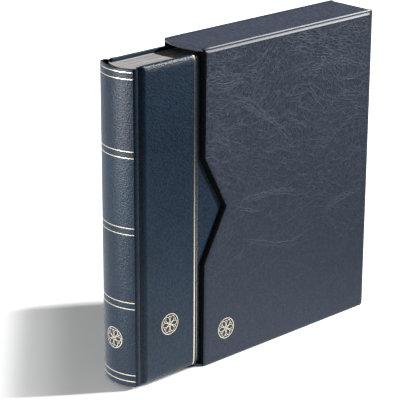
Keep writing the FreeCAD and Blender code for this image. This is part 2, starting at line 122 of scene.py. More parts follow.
# Gold tooling, measured from the album's tail and from its spine
LINE_HEIGHTS = [8.8 * MM + 73.35 * MM * row for row in range(5)]
LINE_PAIR_GAP = 6.3 * MM
SPINE_LINE_WIDTH = 0.65 * MM
COVER_LINES = ((81.0 * MM, 1.35 * MM), (84.1 * MM, 0.55 * MM))
FOIL = 0.04 * MM
FOIL_LEAN = 0.10
FOIL_START = 0.6 * MM
# Heights over which painted shade darkens the lines up the cover towards the head
FOIL_SHADE_HEIGHTS = (0.56 * HEAD, 0.80 * HEAD)
ROSETTE_RADIUS = 10.2 * MM
COVER_ROSETTE = (49.8 * MM, 52.6 * MM)
SPINE_ROSETTE_HEIGHT = 46.5 * MM
CASE_ROSETTE = (31.0 * MM, 32.2 * MM)

# Sizes of the slipcase's leatherette
CASE_SKIN = 0.5 * MM
CORNER = 2.4 * MM
MOUTH_CORNER = 1.6 * MM
NOTCH_HEIGHT = 105 * MM
NOTCH_DEPTH = 28 * MM
NOTCH_SLANT = hypot(NOTCH_DEPTH, NOTCH_HEIGHT / 2) / (NOTCH_HEIGHT / 2)
NOTCH_ROUND = 0.7 * MM
NOTCH_SHOULDER = 2.0 * MM
BORDER = 5.6 * MM
RIM_LIFT = 0.9 * MM
MOUTH_FALL = 2.7 * MM
EDGE_REACH = 4.5 * MM
EDGE_FALL = 1.4 * MM
BEAD_FADE = 32 * MM
# Widths of the very dark inside paper on the mouth's roll, at the bottom and at the top: widened towards the
# top as painted shade
BLACK_RIM_AND_SHADE = (1.6 * MM, 3.8 * MM)
OUTLINE_STEP = 6 * MM
RIM_WIDTH = 8.5 * MM
RIM_TURN = 1.0 * MM
RIM_SKIN = 0.45 * MM
SOFT_EDGE = 0.45 * MM
SOFT_REACH = 1.2 * MM
SIDE_SWELL = 0.08 * MM

# Across a side's top border, from its rim to its face: two pressed beads, as inset and height in millimetres
BEADS = ((0.00, 0.20), (0.15, 0.48), (0.40, 0.70), (0.70, 0.90), (1.00, 1.08), (1.30, 1.23), (1.50, 1.30),
         (1.68, 1.27), (1.86, 1.02), (2.05, 0.80), (2.25, 0.74), (2.50, 0.82), (2.85, 0.98), (3.25, 1.18),
         (3.65, 1.39), (4.05, 1.61), (4.40, 1.80), (4.65, 1.88), (4.85, 1.86), (5.05, 1.78), (5.30, 1.72),
         (5.60, 1.70))

# The side's main creases, in millimetres from mouth and table: lines in a bundle, then its course
CREASE_BUNDLES = (
    (5, (9, 279), (28, 276), (46, 278), (64, 272)),
    (3, (8, 285), (19, 289), (30, 295)),
    (4, (11, 272), (39, 262), (61, 253), (78, 239), (99, 222), (126, 196)),
    (2, (34, 260), (60, 247), (87, 229)),
    (4, (122, 267), (156, 273), (178, 277), (198, 274), (224, 274)),
    (3, (160, 270), (178, 273), (198, 268), (224, 258)),
    (2, (176, 254), (205, 252), (224, 255)),
    (3, (171, 235), (186, 236), (203, 234), (224, 230)),
    (2, (137, 256), (151, 240), (165, 230)),
    (4, (8, 236), (19, 229), (37, 212)),
    (1, (136, 207), (145, 199), (169, 195)),
    (1, (22, 231), (38, 229), (54, 224)),
    (3, (36, 163), (50, 158), (65, 158), (101, 156), (145, 145)),
    (2, (36, 156), (61, 146), (81, 140)),
    (3, (160, 118), (191, 129), (224, 129)),
    (2, (36, 120), (51, 118), (102, 101), (124, 100), (162, 109)),
)
BUNDLE_SPREAD = 3.2 * MM
FINE_CREASES = 640
CREASE_STEP = 1.5 * MM
CREASE_HALF = 0.55 * MM
MAIN_CREASE = 0.17 * MM
FINE_CREASE = 0.12 * MM

# Steps of the meshes
SPINE_STEPS = 18
JOINT_STEPS = 34
SLOPE_STEPS = 12
FACE_STEPS = 46
FORE_EDGE_STEPS = 7
END_STEPS = 10
HEIGHT_STEPS = 140
SPINE_LINE_STEPS = 48
ARC_STEPS = 6
STRIP_STEPS = (46, 8, 60)
ACROSS_STEPS = 40


# Shader helpers

class Nodes:
    """A node tree, with short calls for the nodes used here."""

    MIX_SOCKETS = {"FLOAT": (2, 3, 0), "RGBA": (6, 7, 2)}

    def __init__(self, owner):
        owner.use_nodes = True
        self.tree = owner.node_tree

    def feed(self, socket, value):
        """Links an output to a socket, or sets the socket to a number, a vector or a colour."""
        if isinstance(value, bpy.types.NodeSocket):
            self.tree.links.new(value, socket)
        else:
            socket.default_value = (*value, 1) if socket.type == "RGBA" else value

    def add(self, kind, inputs=None, **settings):
        """The outputs of a new node, with what goes into it by the names or numbers of its sockets."""
        node = self.tree.nodes.new("ShaderNode" + kind)
        for name, value in settings.items():
            setattr(node, name, value)
        for name, value in (inputs or {}).items():
            self.feed(node.inputs[name], value)
        return node.outputs

    def ramp(self, value, low, high, to_low=0.0, to_high=1.0, course="LINEAR"):
        """Maps a value between two limits to another range."""
        inputs = {"Value": value, "From Min": low, "From Max": high, "To Min": to_low, "To Max": to_high}
        return self.add("MapRange", inputs, interpolation_type=course)["Result"]

    def math(self, operation, result, *others):
        """The sum, product or the like of two or more values, taken in turn."""
        for other in others:
            result = self.add("Math", {0: result, 1: other}, operation=operation)["Value"]
        return result

    def blend(self, factor, first, second, kind="RGBA"):
        """A colour between two, or a value if that is the kind."""
        low, high, result = self.MIX_SOCKETS[kind]
        return self.add("Mix", {0: factor, low: first, high: second}, data_type=kind)[result]


class Material(Nodes):
    """A new material, with patterns laid out in its object's coordinates."""

    def __init__(self, name):
        self.material = bpy.data.materials.new(name)
        super().__init__(self.material)
        self.shader = self.tree.nodes["Principled BSDF"]
        self.place = self.add("TexCoord")["Object"]

    def axis(self, name):
        """One of the object's coordinates."""
        return self.add("SeparateXYZ", {"Vector": self.place})[name]

    def attribute(self, name):
        """A value stored in the mesh."""
        return self.add("Attribute", attribute_name=name)["Fac"]

    def stretched(self, stretch, turn):
        """Coordinates for a pattern that is stretched along turned axes."""
        inputs = {"Vector": self.place, "Scale": stretch, "Rotation": turn}
        return self.add("Mapping", inputs, vector_type="TEXTURE")["Vector"]

    def vector_math(self, operation, *vectors):
        return self.add("VectorMath", dict(enumerate(vectors)), operation=operation)

    def wrinkles(self, size, stretch, turn):
        """A net of thin wandering lines: 1 on a line, 0 away from it."""
        place = self.stretched([size * part for part in stretch], turn)
        wander = self.add("TexNoise", {"Vector": place, "Scale": 0.9, "Detail": 2})["Color"]
        moved = self.vector_math("MULTIPLY_ADD", wander, (1.1, 1.1, 1.1), place)["Vector"]
        net = self.add("TexVoronoi", {"Vector": moved, "Scale": 1}, feature="DISTANCE_TO_EDGE")
        return self.ramp(net["Distance"], 0.0, 0.13, 1.0, 0.0)

    def noise(self, size, detail=3, roughness=0.55, vector=None):
        """Noise whose blobs are about size metres across."""
        inputs = {"Vector": vector or self.place, "Scale": 1 / size, "Detail": detail, "Roughness": roughness}
        return self.add("TexNoise", inputs)["Fac"]

    def bump(self, height, depth, strength=1.0, below=None):
        """Bump of a depth in metres, over another bump if one is given."""
        inputs = {"Height": height, "Distance": depth, "Strength": strength}
        if below:
            inputs["Normal"] = below
        return self.add("Bump", inputs)["Normal"]

    def finish(self, colour, rough, **others):
        """Feeds the shader. Other sockets are named with underscores."""
        for name, value in {"Base Color": colour, "Roughness": rough, **others}.items():
            self.feed(self.shader.inputs[name.replace("_", " ")], value)
        return self.material


# Materials

# Painted shade in the album's joint valley: its colour and how strongly it is laid on
VALLEY_SHADE_COLOUR = (0.0, 0.002, 0.006)
VALLEY_SHADE_STRENGTH = 0.55
CASE_COLOURS = ((0.016, 0.024, 0.039), (0.027, 0.038, 0.057))
# Pale colours painted on the slipcase's wrinkles and crease ridges as highlights
WRINKLE_HIGHLIGHT_COLOUR = (0.074, 0.092, 0.124)
CREST_HIGHLIGHT_COLOUR = (0.126, 0.148, 0.186)


def leatherette(name, dark, light, grain, depth, roughness, gloss, pressed=False):
    """Pressed-grain leatherette: slanting pebbles with darker valleys, finer pores, and slow changes of tone.
    Pressed lays painted shade on it: darker and less glossy where its mesh's valley shade says so."""
    nodes = Material(name)
    slant = (0, 0.9, 0)
    cells = {"Vector": nodes.stretched((1.5, 1, 0.8), slant), "Scale": 1 / grain}
    pebbles = nodes.add("TexVoronoi", cells, feature="SMOOTH_F1")["Distance"]
    pores = nodes.noise(grain * 0.4, detail=2)
    mottle = nodes.noise(grain * 1.3, detail=2, vector=nodes.stretched((1.8, 1, 0.8), slant))
    slow = nodes.noise(45 * MM, detail=2)
    tone = nodes.math("ADD", nodes.math("MULTIPLY", slow, 0.3), nodes.math("MULTIPLY", mottle, 0.7))
    shaded = nodes.math("SUBTRACT", tone, nodes.math("MULTIPLY", pebbles, 0.3))
    colour = nodes.blend(nodes.ramp(shaded, 0.2, 0.5), dark, light)
    if pressed:
        # Painted shade in the joint's valley: a darker colour and less gloss
        press = nodes.attribute("press")
        colour = nodes.blend(nodes.math("MULTIPLY", press, VALLEY_SHADE_STRENGTH), colour, VALLEY_SHADE_COLOUR)
        gloss = nodes.ramp(press, 0, 1, gloss, VALLEY_SHADE_STRENGTH * gloss)
    normal = nodes.bump(pebbles, -depth)
    normal = nodes.bump(mottle, depth, below=normal)
    normal = nodes.bump(pores, depth * 0.3, below=normal)
    rough = nodes.ramp(pores, 0.25, 0.75, roughness - 0.06, roughness + 0.06)
    return nodes.finish(colour, rough, Normal=normal, Specular_IOR_Level=gloss)


def creased_leatherette():
    """The slipcase's leatherette: a net of hairline wrinkles with painted highlights, stronger towards the
    top, and painted highlights along the ridges of its modelled creases."""
    nodes = Material("slipcase_leatherette")
    lying = nodes.wrinkles(3.0 * MM, (2.6, 1, 0.9), (0, 0.25, 0))
    rising = nodes.wrinkles(3.2 * MM, (2.4, 1, 0.8), (0, -0.7, 0))
    leaning = nodes.wrinkles(2.8 * MM, (0.8, 1, 2.2), (0, 0.5, 0))
    patches = nodes.ramp(nodes.noise(40 * MM, detail=1), 0.44, 0.56)
    turned = nodes.stretched((1, 1, 1), (0, 1.1, 0))
    others = nodes.ramp(nodes.noise(31 * MM, detail=1, vector=turned), 0.46, 0.58)
    net = nodes.blend(others, nodes.blend(patches, lying, rising, "FLOAT"), leaning, "FLOAT")
    broken = nodes.ramp(nodes.noise(9 * MM, detail=2), 0.30, 0.70, 0.45, 1.0)
    height = nodes.axis("Z")
    # More wrinkles towards the top, and their painted highlights brighter there
    wear_and_highlight = nodes.ramp(height, 0.2 * CASE_TOP, 0.9 * CASE_TOP, 0.25, 1.0)
    wrinkles = nodes.math("MULTIPLY", net, broken, wear_and_highlight)
    pores = nodes.noise(1.3 * MM)
    grained = nodes.blend(wrinkles, nodes.blend(nodes.ramp(pores, 0.3, 0.7), *CASE_COLOURS), WRINKLE_HIGHLIGHT_COLOUR)
    # Painted highlights on the crease ridges, brighter towards the top
    crest_highlight_height = nodes.ramp(height, 0.2 * CASE_TOP, 0.8 * CASE_TOP, 0.36, 0.50)
    patchy = nodes.ramp(nodes.noise(4 * MM, detail=2), 0.35, 0.6, 0.4, 1.0)
    crest_highlights = nodes.math("MULTIPLY", nodes.attribute("crest"), crest_highlight_height, patchy)
    colour = nodes.blend(crest_highlights, grained, CREST_HIGHLIGHT_COLOUR)
    normal = nodes.bump(pores, 0.10 * MM, below=nodes.bump(wrinkles, 0.12 * MM))
    rough = nodes.ramp(pores, 0.3, 0.7, 0.40, 0.54)
    return nodes.finish(colour, rough, Normal=normal, Specular_IOR_Level=0.20)


def gold_foil(name, dark, light, painted_shade=None):
    """Gold foil. A line up the cover has painted shade towards the album's head, and leans down a little,
    since its foot is pressed in deeper."""
    nodes = Material(name)
    wear = nodes.noise(0.7 * MM, detail=4)
    colour = nodes.blend(nodes.ramp(wear, 0.35, 0.6), dark, light)
    normal = nodes.bump(wear, 0.03 * MM, 0.5)
    # Painted shade: the line darkens towards the album's head
    if painted_shade:
        height = nodes.axis("Z")
        colour = nodes.blend(nodes.ramp(height, *FOIL_SHADE_HEIGHTS), colour, painted_shade)
        normal = nodes.bump(height, FOIL_LEAN, below=normal)
    rough = nodes.ramp(wear, 0.3, 0.7, 0.22, 0.34)
    return nodes.finish(colour, rough, Normal=normal, Metallic=1.0)


def paper(name, dark, light, fibre=0.9 * MM, spread=0.0):
    """Paper or card with fibres and slow mottling. Spread makes sheets differ in tone."""
    nodes = Material(name)
    fibres = nodes.noise(fibre, detail=5, roughness=0.65)
    clouds = nodes.noise(14 * MM)
    tone = nodes.math("ADD", nodes.math("MULTIPLY", fibres, 0.55), nodes.math("MULTIPLY", clouds, 0.45))
    if spread:
        sheet = nodes.add("ObjectInfo")["Random"]
        tone = nodes.math("ADD", tone, nodes.ramp(sheet, 0.0, 1.0, -spread / 2, spread / 2))
    colour = nodes.blend(nodes.ramp(tone, 0.35, 0.65), dark, light)
    normal = nodes.bump(fibres, 0.05 * MM, 0.6)
    return nodes.finish(colour, 0.85, Normal=normal, Specular_IOR_Level=0.3)


def plain_sheet(name, dark, light, fibre, depth, strength, rough, **others):
    """A sheet with fibres only, bumped to a depth and a strength."""
    nodes = Material(name)
    fibres = nodes.noise(fibre, detail=4)
    colour = nodes.blend(nodes.ramp(fibres, 0.35, 0.65), dark, light)
    return nodes.finish(colour, rough, Normal=nodes.bump(fibres, depth, strength), **others)


def woven(name, dark, light, thread):
    """Plain-weave cloth."""
    nodes = Material(name)
    waves = []
    for axis in ("X", "Y", "Z"):
        inputs = {"Vector": nodes.place, "Scale": 0.31 / thread}
        waves.append(nodes.add("TexWave", inputs, bands_direction=axis)["Fac"])
    weave = nodes.math("MAXIMUM", nodes.math("MULTIPLY", waves[0], waves[1]), waves[2])
    fuzz = nodes.noise(thread * 0.6)
    colour = nodes.blend(nodes.math("MULTIPLY", weave, fuzz), dark, light)
    normal = nodes.bump(weave, 0.08 * MM, 0.7)
    return nodes.finish(colour, 0.9, Normal=normal, Specular_IOR_Level=0.2)


def clear_film():
    nodes = Material("pocket_film")
    smears = nodes.noise(25 * MM, detail=2)
    rough = nodes.ramp(smears, 0.3, 0.7, 0.06, 0.16)
    normal = nodes.bump(smears, 0.05 * MM, 0.3)
    return nodes.finish((0.93, 0.95, 0.96), rough, Normal=normal, Alpha=0.35)


album_leather = leatherette("album_leatherette", (0.0, 0.006, 0.017), (0.007, 0.025, 0.050), 1.15 * MM,
                            0.22 * MM, 0.37, 0.30, pressed=True)
strip_leather = leatherette("slipcase_strip", (0.046, 0.061, 0.096), (0.091, 0.109, 0.154), 3.0 * MM,
                            0.12 * MM, 0.60, 0.20)
pressed_leather = leatherette("slipcase_pressed_edge", (0.032, 0.042, 0.062), (0.046, 0.056, 0.080), 0.9 * MM,
                              0.01 * MM, 0.38, 0.23)
case_leather = creased_leatherette()
foil = gold_foil("gold_foil", (0.70, 0.58, 0.40), (0.98, 0.90, 0.74))
line_foil = gold_foil("cover_gold_foil", (0.64, 0.55, 0.42), (0.84, 0.77, 0.65), (0.42, 0.34, 0.23))
# The second line up the cover: foil painted darker as painted shade from the slipcase's mouth, darker still
# towards the head
shaded_foil = gold_foil("shaded_gold_foil", (0.29, 0.24, 0.17), (0.54, 0.46, 0.35), (0.15, 0.10, 0.06))
# The very dark inside paper of the slipcase, made this dark to serve also as painted shade on the mouth's rim
lining_and_rim_shade = plain_sheet("slipcase_lining", (0.002, 0.002, 0.002), (0.005, 0.005, 0.005), 0.6 * MM, 0.05 * MM,
                     0.6, 0.9, Specular_IOR_Level=0.06)

# Materials of the CAD nodes, by their slots
NODE_MATERIALS = {
    "greyboard": paper("greyboard", (0.20, 0.18, 0.15), (0.33, 0.30, 0.26), 1.6 * MM),
    "slipcase_lining": lining_and_rim_shade,
    "endpaper": paper("endpaper", (0.66, 0.65, 0.62), (0.76, 0.75, 0.72)),
    "back_lining": woven("back_lining", (0.40, 0.38, 0.34), (0.66, 0.64, 0.59), 0.9 * MM),
    "band_cloth": woven("band_cloth", (0.55, 0.53, 0.49), (0.85, 0.84, 0.80), 0.6 * MM),
    "linen": woven("linen", (0.50, 0.48, 0.44), (0.74, 0.72, 0.67), 0.5 * MM),
    "page_card": paper("page_card", (0.36, 0.35, 0.35), (0.55, 0.54, 0.54), 0.7 * MM, spread=0.45),
    "pocket_film": clear_film(),
    "glassine": plain_sheet("glassine", (0.70, 0.69, 0.64), (0.82, 0.81, 0.77), 1.5 * MM, 0.02 * MM, 0.4,
                            0.45, Alpha=0.75),
    "padding": paper("padding", (0.45, 0.45, 0.42), (0.58, 0.58, 0.55), 0.5 * MM),
}


def dress_nodes():
    """Gives every CAD node that stays the material of its slot."""
    for part in frame["record"]["subparts"]:
        material = NODE_MATERIALS.get(part["material_slot"])
        if material:
            materials = frame["nodes"][part["node"]].data.materials
            materials.clear()
            materials.append(material)


# Mesh helpers

def new_object(name, data):
    item = bpy.data.objects.new(name, data)
    bpy.context.scene.collection.objects.link(item)
    return item


def piece(name, points, faces, materials, body, crease=40, finishes=None):
    """A new object that rides on a body, smooth except at edges sharper than crease degrees. Finishes gives
    each face its place in the list of materials."""
    mesh = bpy.data.meshes.new(name)
    mesh.from_pydata(points, [], faces)
    for material in materials:
        mesh.materials.append(material)
    if finishes:
        mesh.polygons.foreach_set("material_index", finishes)
    mesh.polygons.foreach_set("use_smooth", [True] * len(mesh.polygons))
    mesh.set_sharp_from_angle(angle=radians(crease))
    item = new_object(name, mesh)
    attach(item, body)
    return item


def lattice(rows, columns, start=0, closed=False, ring=False):
    """Quads over a grid of points numbered row by row. Closed joins the ends of each row, and ring joins the
    last row to the first."""
    faces = []
    for row in range(rows if ring else rows - 1):
        first = start + row * columns
        above = start + (row + 1) % rows * columns
        for column in range(columns if closed else columns - 1):
            after = (column + 1) % columns
            faces.append((first + column, first + after, above + after, above + column))
    return faces


def flipped(faces):
    """The same faces, turned to the other side."""
    return [tuple(reversed(face)) for face in faces]


def shell(rows, columns):
    """Faces of a sheet with a thickness: its outside points come first, row by row, then its inside ones."""
    inside = rows * columns
    faces = lattice(rows, columns) + flipped(lattice(rows, columns, inside))
    for row in range(rows - 1):
        first = row * columns
        last = first + columns - 1
        faces.append((first, first + columns, inside + first + columns, inside + first))
        faces.append((last, inside + last, inside + last + columns, last + columns))
    end = inside - columns
    for column in range(columns - 1):
        faces.append((column, inside + column, inside + column + 1, column + 1))
        faces.append((end + column, end + column + 1, inside + end + column + 1, inside + end + column))
    return faces


def lerp(low, high, part):
    return low + (high - low) * part


def part_way(value, low, high):
    """How far a value is on the way from low to high, kept between 0 and 1."""
    return min(1.0, max(0.0, (value - low) / (high - low)))


def ripple(spot, size, layer):
    """Smooth noise at a 2-D place, in blobs about size metres across. Each layer has its own."""
    return noise.noise(Vector((spot.x / size, spot.y / size, layer)))


def steps(count):
    """Evenly spaced numbers from 0 to 1."""
    return [index / count for index in range(count + 1)]


# Album leatherette

def crown(along, up):
    """How far a cover's face lies below its highest level: padding is thinner at its edges."""
    across = part_way(along, COVER_START, ALBUM_WIDTH)
    height = (up - TAIL) / (HEAD - TAIL)
    swell = (1 - abs(2 * across - 1) ** 7) * (1 - abs(2 * height - 1) ** 9)
    wander = noise.noise(Vector((along / (38 * MM), up / (46 * MM), 3.7)))
    return COVER_CROWN * (1 - swell) + COVER_WANDER * (wander + 1) / 2


# A place on the album's cross-section, on the side of one cover: its outside and its inside, as along from
# the spine's outermost line and out from the middle plane, the way it faces and its ends. Sink gives how much
# lower its outside lies at a height, and press how much painted shade lies on it.
Station = namedtuple("Station", "outside inside normal ends sink press", defaults=(None, 0.0))


def spine_stations():
    centre = Vector((SPINE_RADIUS, 0))
    for part in steps(SPINE_STEPS):
        angle = part * SPINE_SPREAD
        ray = Vector((-cos(angle), sin(angle)))
        inside = centre + ray * (SPINE_RADIUS - SPINE_WALL)
        yield Station(centre + ray * SPINE_RADIUS, inside, ray, SPINE_ENDS)


def joint_level(along):
    """The crease beside the spine, the flat shoulder, the pressed valley and the slope up to the cover."""
    crease = CREASE_DEPTH * exp(-((along - SPINE_ROUND - CREASE_WIDTH) / CREASE_WIDTH) ** 2)
    ridge_end = SPINE_ROUND + RIDGE_WIDTH
    if along < ridge_end:
        return RIDGE_LEVEL - crease
    bottom = COVER_FACE - VALLEY_DEPTH
    if along < VALLEY:
        part = part_way(along, ridge_end, VALLEY)
        return lerp(RIDGE_LEVEL, bottom, (1 - cos(pi * part)) / 2)
    below = FACE_START - along
    fall = VALLEY_DEPTH / (FACE_START - SLOPE_ROUND / 2 - VALLEY)
    if below < SLOPE_ROUND:
        return COVER_FACE - fall * below ** 2 / (2 * SLOPE_ROUND)
    return COVER_FACE - fall * (below - SLOPE_ROUND / 2)


def joint_normal(along):
    """The way the joint's outside faces."""
    small = 0.02 * MM
    slope = (joint_level(along + small) - joint_level(along - small)) / (2 * small)
    return Vector((-max(-STEEPEST, min(STEEPEST, slope)), 1)).normalized()


def crinkle(along, up):
    """Small cross wrinkles on the shoulder and in the groove, where the leatherette bends."""
    return RIDGE_CRINKLE * (0.5 + noise.noise(Vector((along / (5 * MM), up / (3.2 * MM), 5.3))))


def joint_stations():
    for part in steps(JOINT_STEPS):
        along = lerp(SPINE_ROUND + JOINT_MARGINS[0], COVER_START - JOINT_MARGINS[1], part)
        normal = joint_normal(along)
        outside = Vector((along, joint_level(along)))
        # Painted shade grows with the joint's depth
        press = part_way(COVER_FACE - outside.y, *VALLEY_SHADE_DEPTHS)
        inside = outside - normal * SKIN
        yield Station(outside, inside, normal, JOINT_ENDS, crinkle, press)


def share_of_crown(share):
    """A cover's crown as it fades out over a rounded edge."""
    return lambda along, up: share * crown(along, up)


def cover_stations():
    """From the groove over the padded cover to the fore-edge."""
    face_end = ALBUM_WIDTH - COVER_ROUND
    wall = COVER_START + WALL_BACK
    wall_top = joint_level(COVER_START) - SKIN
    for part in steps(SLOPE_STEPS):
        along = lerp(COVER_START, FACE_START, part)
        inside = (wall, lerp(wall_top, TURN_FACE, part))
        ends = GROOVE_ENDS.lerp(COVER_ENDS, part)
        # Painted shade fades out up the slope to the cover
        yield Station((along, joint_level(along)), inside, joint_normal(along), ends, share_of_crown(part),
                      1 - part)
    for part in steps(FACE_STEPS)[1:-1]:
        outside = (lerp(FACE_START, face_end, part), COVER_FACE)
        inside = (lerp(wall, face_end + WALL_BACK, part), TURN_FACE)
        yield Station(outside, inside, Vector((0, 1)), COVER_ENDS, crown)
    for part in steps(FORE_EDGE_STEPS):
        angle = pi / 2 * (1 - part)
        ray = Vector((cos(angle), sin(angle)))
        outside = Vector((face_end, COVER_FACE - COVER_ROUND)) + ray * COVER_ROUND
        inside = (lerp(face_end + WALL_BACK, ALBUM_WIDTH - TURN_IN_EDGE, part), TURN_FACE)
        ends = COVER_ENDS.lerp(FORE_EDGE_ENDS, part)
        yield Station(outside, inside, ray, ends, share_of_crown(1 - part))
    yield Station((ALBUM_WIDTH, TURN_FACE + INNER_ROUND), (ALBUM_WIDTH - INNER_ROUND, TURN_FACE),
                  Vector((1, 0)), FORE_EDGE_ENDS)


def end_to_end():
    """Steps from tail to head over the rounded ends: the share of the height, how many reaches of an end are
    added to it, and how far the surface has turned from facing along to facing out."""
    turns = [pi / 2 * part for part in steps(END_STEPS)]
    tail = [(0, 1 - cos(turn), turn) for turn in turns]
    head = [(1, cos(turn) - 1, turn) for turn in reversed(turns)]
    return tail + [(part, 1 - 2 * part, pi / 2) for part in steps(HEIGHT_STEPS)[1:-1]] + head


def station_column(station, side):
    """Outside and inside points of one station from tail to head."""
    outer = []
    inner = []
    outer_round, inner_round, reach = station.ends
    for share, reaches, turn in end_to_end():
        inset = station.normal * (1 - sin(turn))
        up = lerp(TAIL, HEAD, share) + reaches * reach
        outside = Vector(station.outside) - inset * outer_round
        if station.sink:
            outside.y -= station.sink(station.outside[0], up)
        outer.append((APEX + outside.x, side * outside.y, up))
        inside = Vector(station.inside) + inset * inner_round
        inner.append((APEX + inside.x, side * inside.y, lerp(TAIL, HEAD, share) + reaches * inner_round))
    return outer, inner


def album_cover():
    """One sheet of leatherette over back cover, joints, spine and front cover."""
    half = [*spine_stations(), *joint_stations(), *cover_stations()]
    columns = [station_column(station, 1) for station in reversed(half)]
    columns += [station_column(station, -1) for station in half[1:]]
    points = [point for outer, inner in columns for point in outer]
    points += [point for outer, inner in columns for point in inner]
    faces = flipped(shell(len(columns), len(columns[0][0])))
    cover = piece("album_cover", points, faces, [album_leather], "album")
    # Painted shade in the joint's valley, laid on more strongly towards the head
    valley_shades = []
    for station, (outer, inner) in zip([*reversed(half), *half[1:]], columns):
        valley_shades += [station.press * lerp(0.2, 1, (z - TAIL) / (HEAD - TAIL)) for x, y, z in outer]
    cover.data.attributes.new("press", "FLOAT", "POINT").data.foreach_set("value", valley_shades * 2)
    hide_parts("cover_leatherette", "front_cover_padding", "back_cover_padding")


# Gold tooling

def ribbon(name, path, material):
    """A thin strip of foil on the album. Each step of the path is its two edges and the way it faces."""
    points = []
    for left, right, normal in path:
        points += [left - normal * FOIL, left + normal * FOIL, right + normal * FOIL, right - normal * FOIL]
    faces = lattice(len(path), 4, closed=True)
    last = len(points) - 4
    faces += [(3, 2, 1, 0), (last, last + 1, last + 2, last + 3)]
    piece(name, points, faces, [material], "album")


def spine_lines():
    for number, height in enumerate(LINE_HEIGHTS):
        for side in (-1, 1):
            middle = TAIL + height + side * LINE_PAIR_GAP / 2
            path = []
            for part in steps(SPINE_LINE_STEPS):
                angle = (2 * part - 1) * SPINE_SPREAD
                ray = Vector((-cos(angle), sin(angle), 0))
                spot = Vector((APEX + SPINE_RADIUS, 0, middle)) + ray * SPINE_RADIUS
                rise = Vector((0, 0, SPINE_LINE_WIDTH / 2))
                path.append((spot - rise, spot + rise, ray))
            ribbon(f"spine_gold_line_{number}_{'low' if side < 0 else 'high'}", path, foil)


def cover_line(name, along, width, material):
    """A line up the front cover, from the turned-in edge at its tail to that at its head."""
    def cap(end, facing):
        top = COVER_FACE - crown(along, end) - END_ROUND
        return [(lerp(TURN_FACE + FOIL_START, top, part), end, facing) for part in steps(3)[:-1]]

    spots = cap(TAIL, Vector((0, 0, -1)))
    for share, reaches, turn in end_to_end():
        up = lerp(TAIL, HEAD, share) + reaches * END_LENGTH
        out = COVER_FACE - crown(along, up) - END_ROUND * (1 - sin(turn))
        facing_up = (2 * share - 1) * cos(turn) / END_LENGTH
        spots.append((out, up, Vector((0, -sin(turn) / END_ROUND, facing_up)).normalized()))
    spots += reversed(cap(HEAD, Vector((0, 0, 1))))
    half = Vector((width / 2, 0, 0))
    path = []
    for out, up, facing in spots:
        spot = Vector((APEX + along, -out, up))
        path.append((spot + half, spot - half, facing))
    ribbon(name, path, material)


def closed_line(curve, width):
    """The left and right edges of a closed line along a curve of 2-D points, pair by pair."""
    pairs = []
    for index, spot in enumerate(curve):
        ahead = curve[(index + 1) % len(curve)] - curve[index - 1]
        side = Vector((ahead.y, -ahead.x)).normalized() * width / 2
        pairs.append((spot - side, spot + side))
    return pairs


def circle(radius, count, centre=Vector((0, 0))):
    return [centre + radius * Vector((cos(tau * part), sin(tau * part)))
            for part in steps(count)[:-1]]


def rosette_lines():
    """A round tooled rosette: a ring, six petals, dots between the petals and one in the middle."""
    reach = ROSETTE_RADIUS
    yield closed_line(circle(reach, 96), 0.06 * reach)
    for petal in range(6):
        turn = Matrix.Rotation(tau * petal / 6, 2)
        outline = []
        for part in steps(28)[:-1]:
            angle = tau * part
            length = 0.52 + 0.34 * cos(angle)
            width = 0.21 * sin(angle) * (1 + 0.25 * cos(angle))
            outline.append(turn @ Vector((length * reach, width * reach)))
        yield closed_line(outline, 0.048 * reach)
        between = Matrix.Rotation(tau * (petal + 0.5) / 6, 2) @ Vector((0.76 * reach, 0))
        yield closed_line(circle(0.035 * reach, 10, between), 0.06 * reach)
    yield closed_line(circle(0.05 * reach, 16), 0.09 * reach)


def rosette(name, body, on_surface):
    """The rosette laid on a surface: on_surface turns a 2-D place and a height into a point."""
    points = []
    faces = []
    for pairs in rosette_lines():
        faces += lattice(len(pairs), 4, len(points), closed=True, ring=True)
        for left, right in pairs:
            points += [on_surface(left, -FOIL), on_surface(left, FOIL)]
            points += [on_surface(right, FOIL), on_surface(right, -FOIL)]
    piece(name, points, faces, [foil], body)


def rosettes():
    def on_cover(spot, lift):
        along = COVER_ROSETTE[0] + spot.x
        up = TAIL + COVER_ROSETTE[1] + spot.y
        return Vector((APEX + along, -(COVER_FACE - crown(along, up) + lift), up))

    def on_spine(spot, lift):
        angle = spot.x / SPINE_RADIUS
        reach = SPINE_RADIUS + lift
        return Vector((APEX + SPINE_RADIUS - reach * cos(angle), -reach * sin(angle),
                       TAIL + SPINE_ROSETTE_HEIGHT + spot.y))

    def on_case(spot, lift):
        along = MOUTH + CASE_ROSETTE[0] + spot.x
        up = CASE_ROSETTE[1] + spot.y
        return Vector((along, -(SIDE_FACE + side_swell(along, up) + lift), up))

    rosette("cover_rosette", "album", on_cover)
    rosette("spine_rosette", "album", on_spine)
    rosette("slipcase_rosette", "slipcase", on_case)


# Slipcase leatherette

def side_swell(along, up):
    """Slow unevenness of a padded slipcase side."""
    return SIDE_SWELL * ripple(Vector((along, up)), 60 * MM, 9.1)


def round_corner(before, corner, after, radius):
    """A corner of an outline replaced by an arc."""
    towards = (before - corner).normalized()
    away = (after - corner).normalized()
    half = acos(max(-1, min(1, towards.dot(away)))) / 2
    reach = radius / tan(half)
    middle = (towards + away).normalized()
    centre = corner + middle * radius / sin(half)
    start = corner + towards * reach - centre
    stop = corner + away * reach - centre
    sweep = start.angle_signed(stop)
    return [centre + Matrix.Rotation(-sweep * part, 2) @ start for part in steps(ARC_STEPS)]


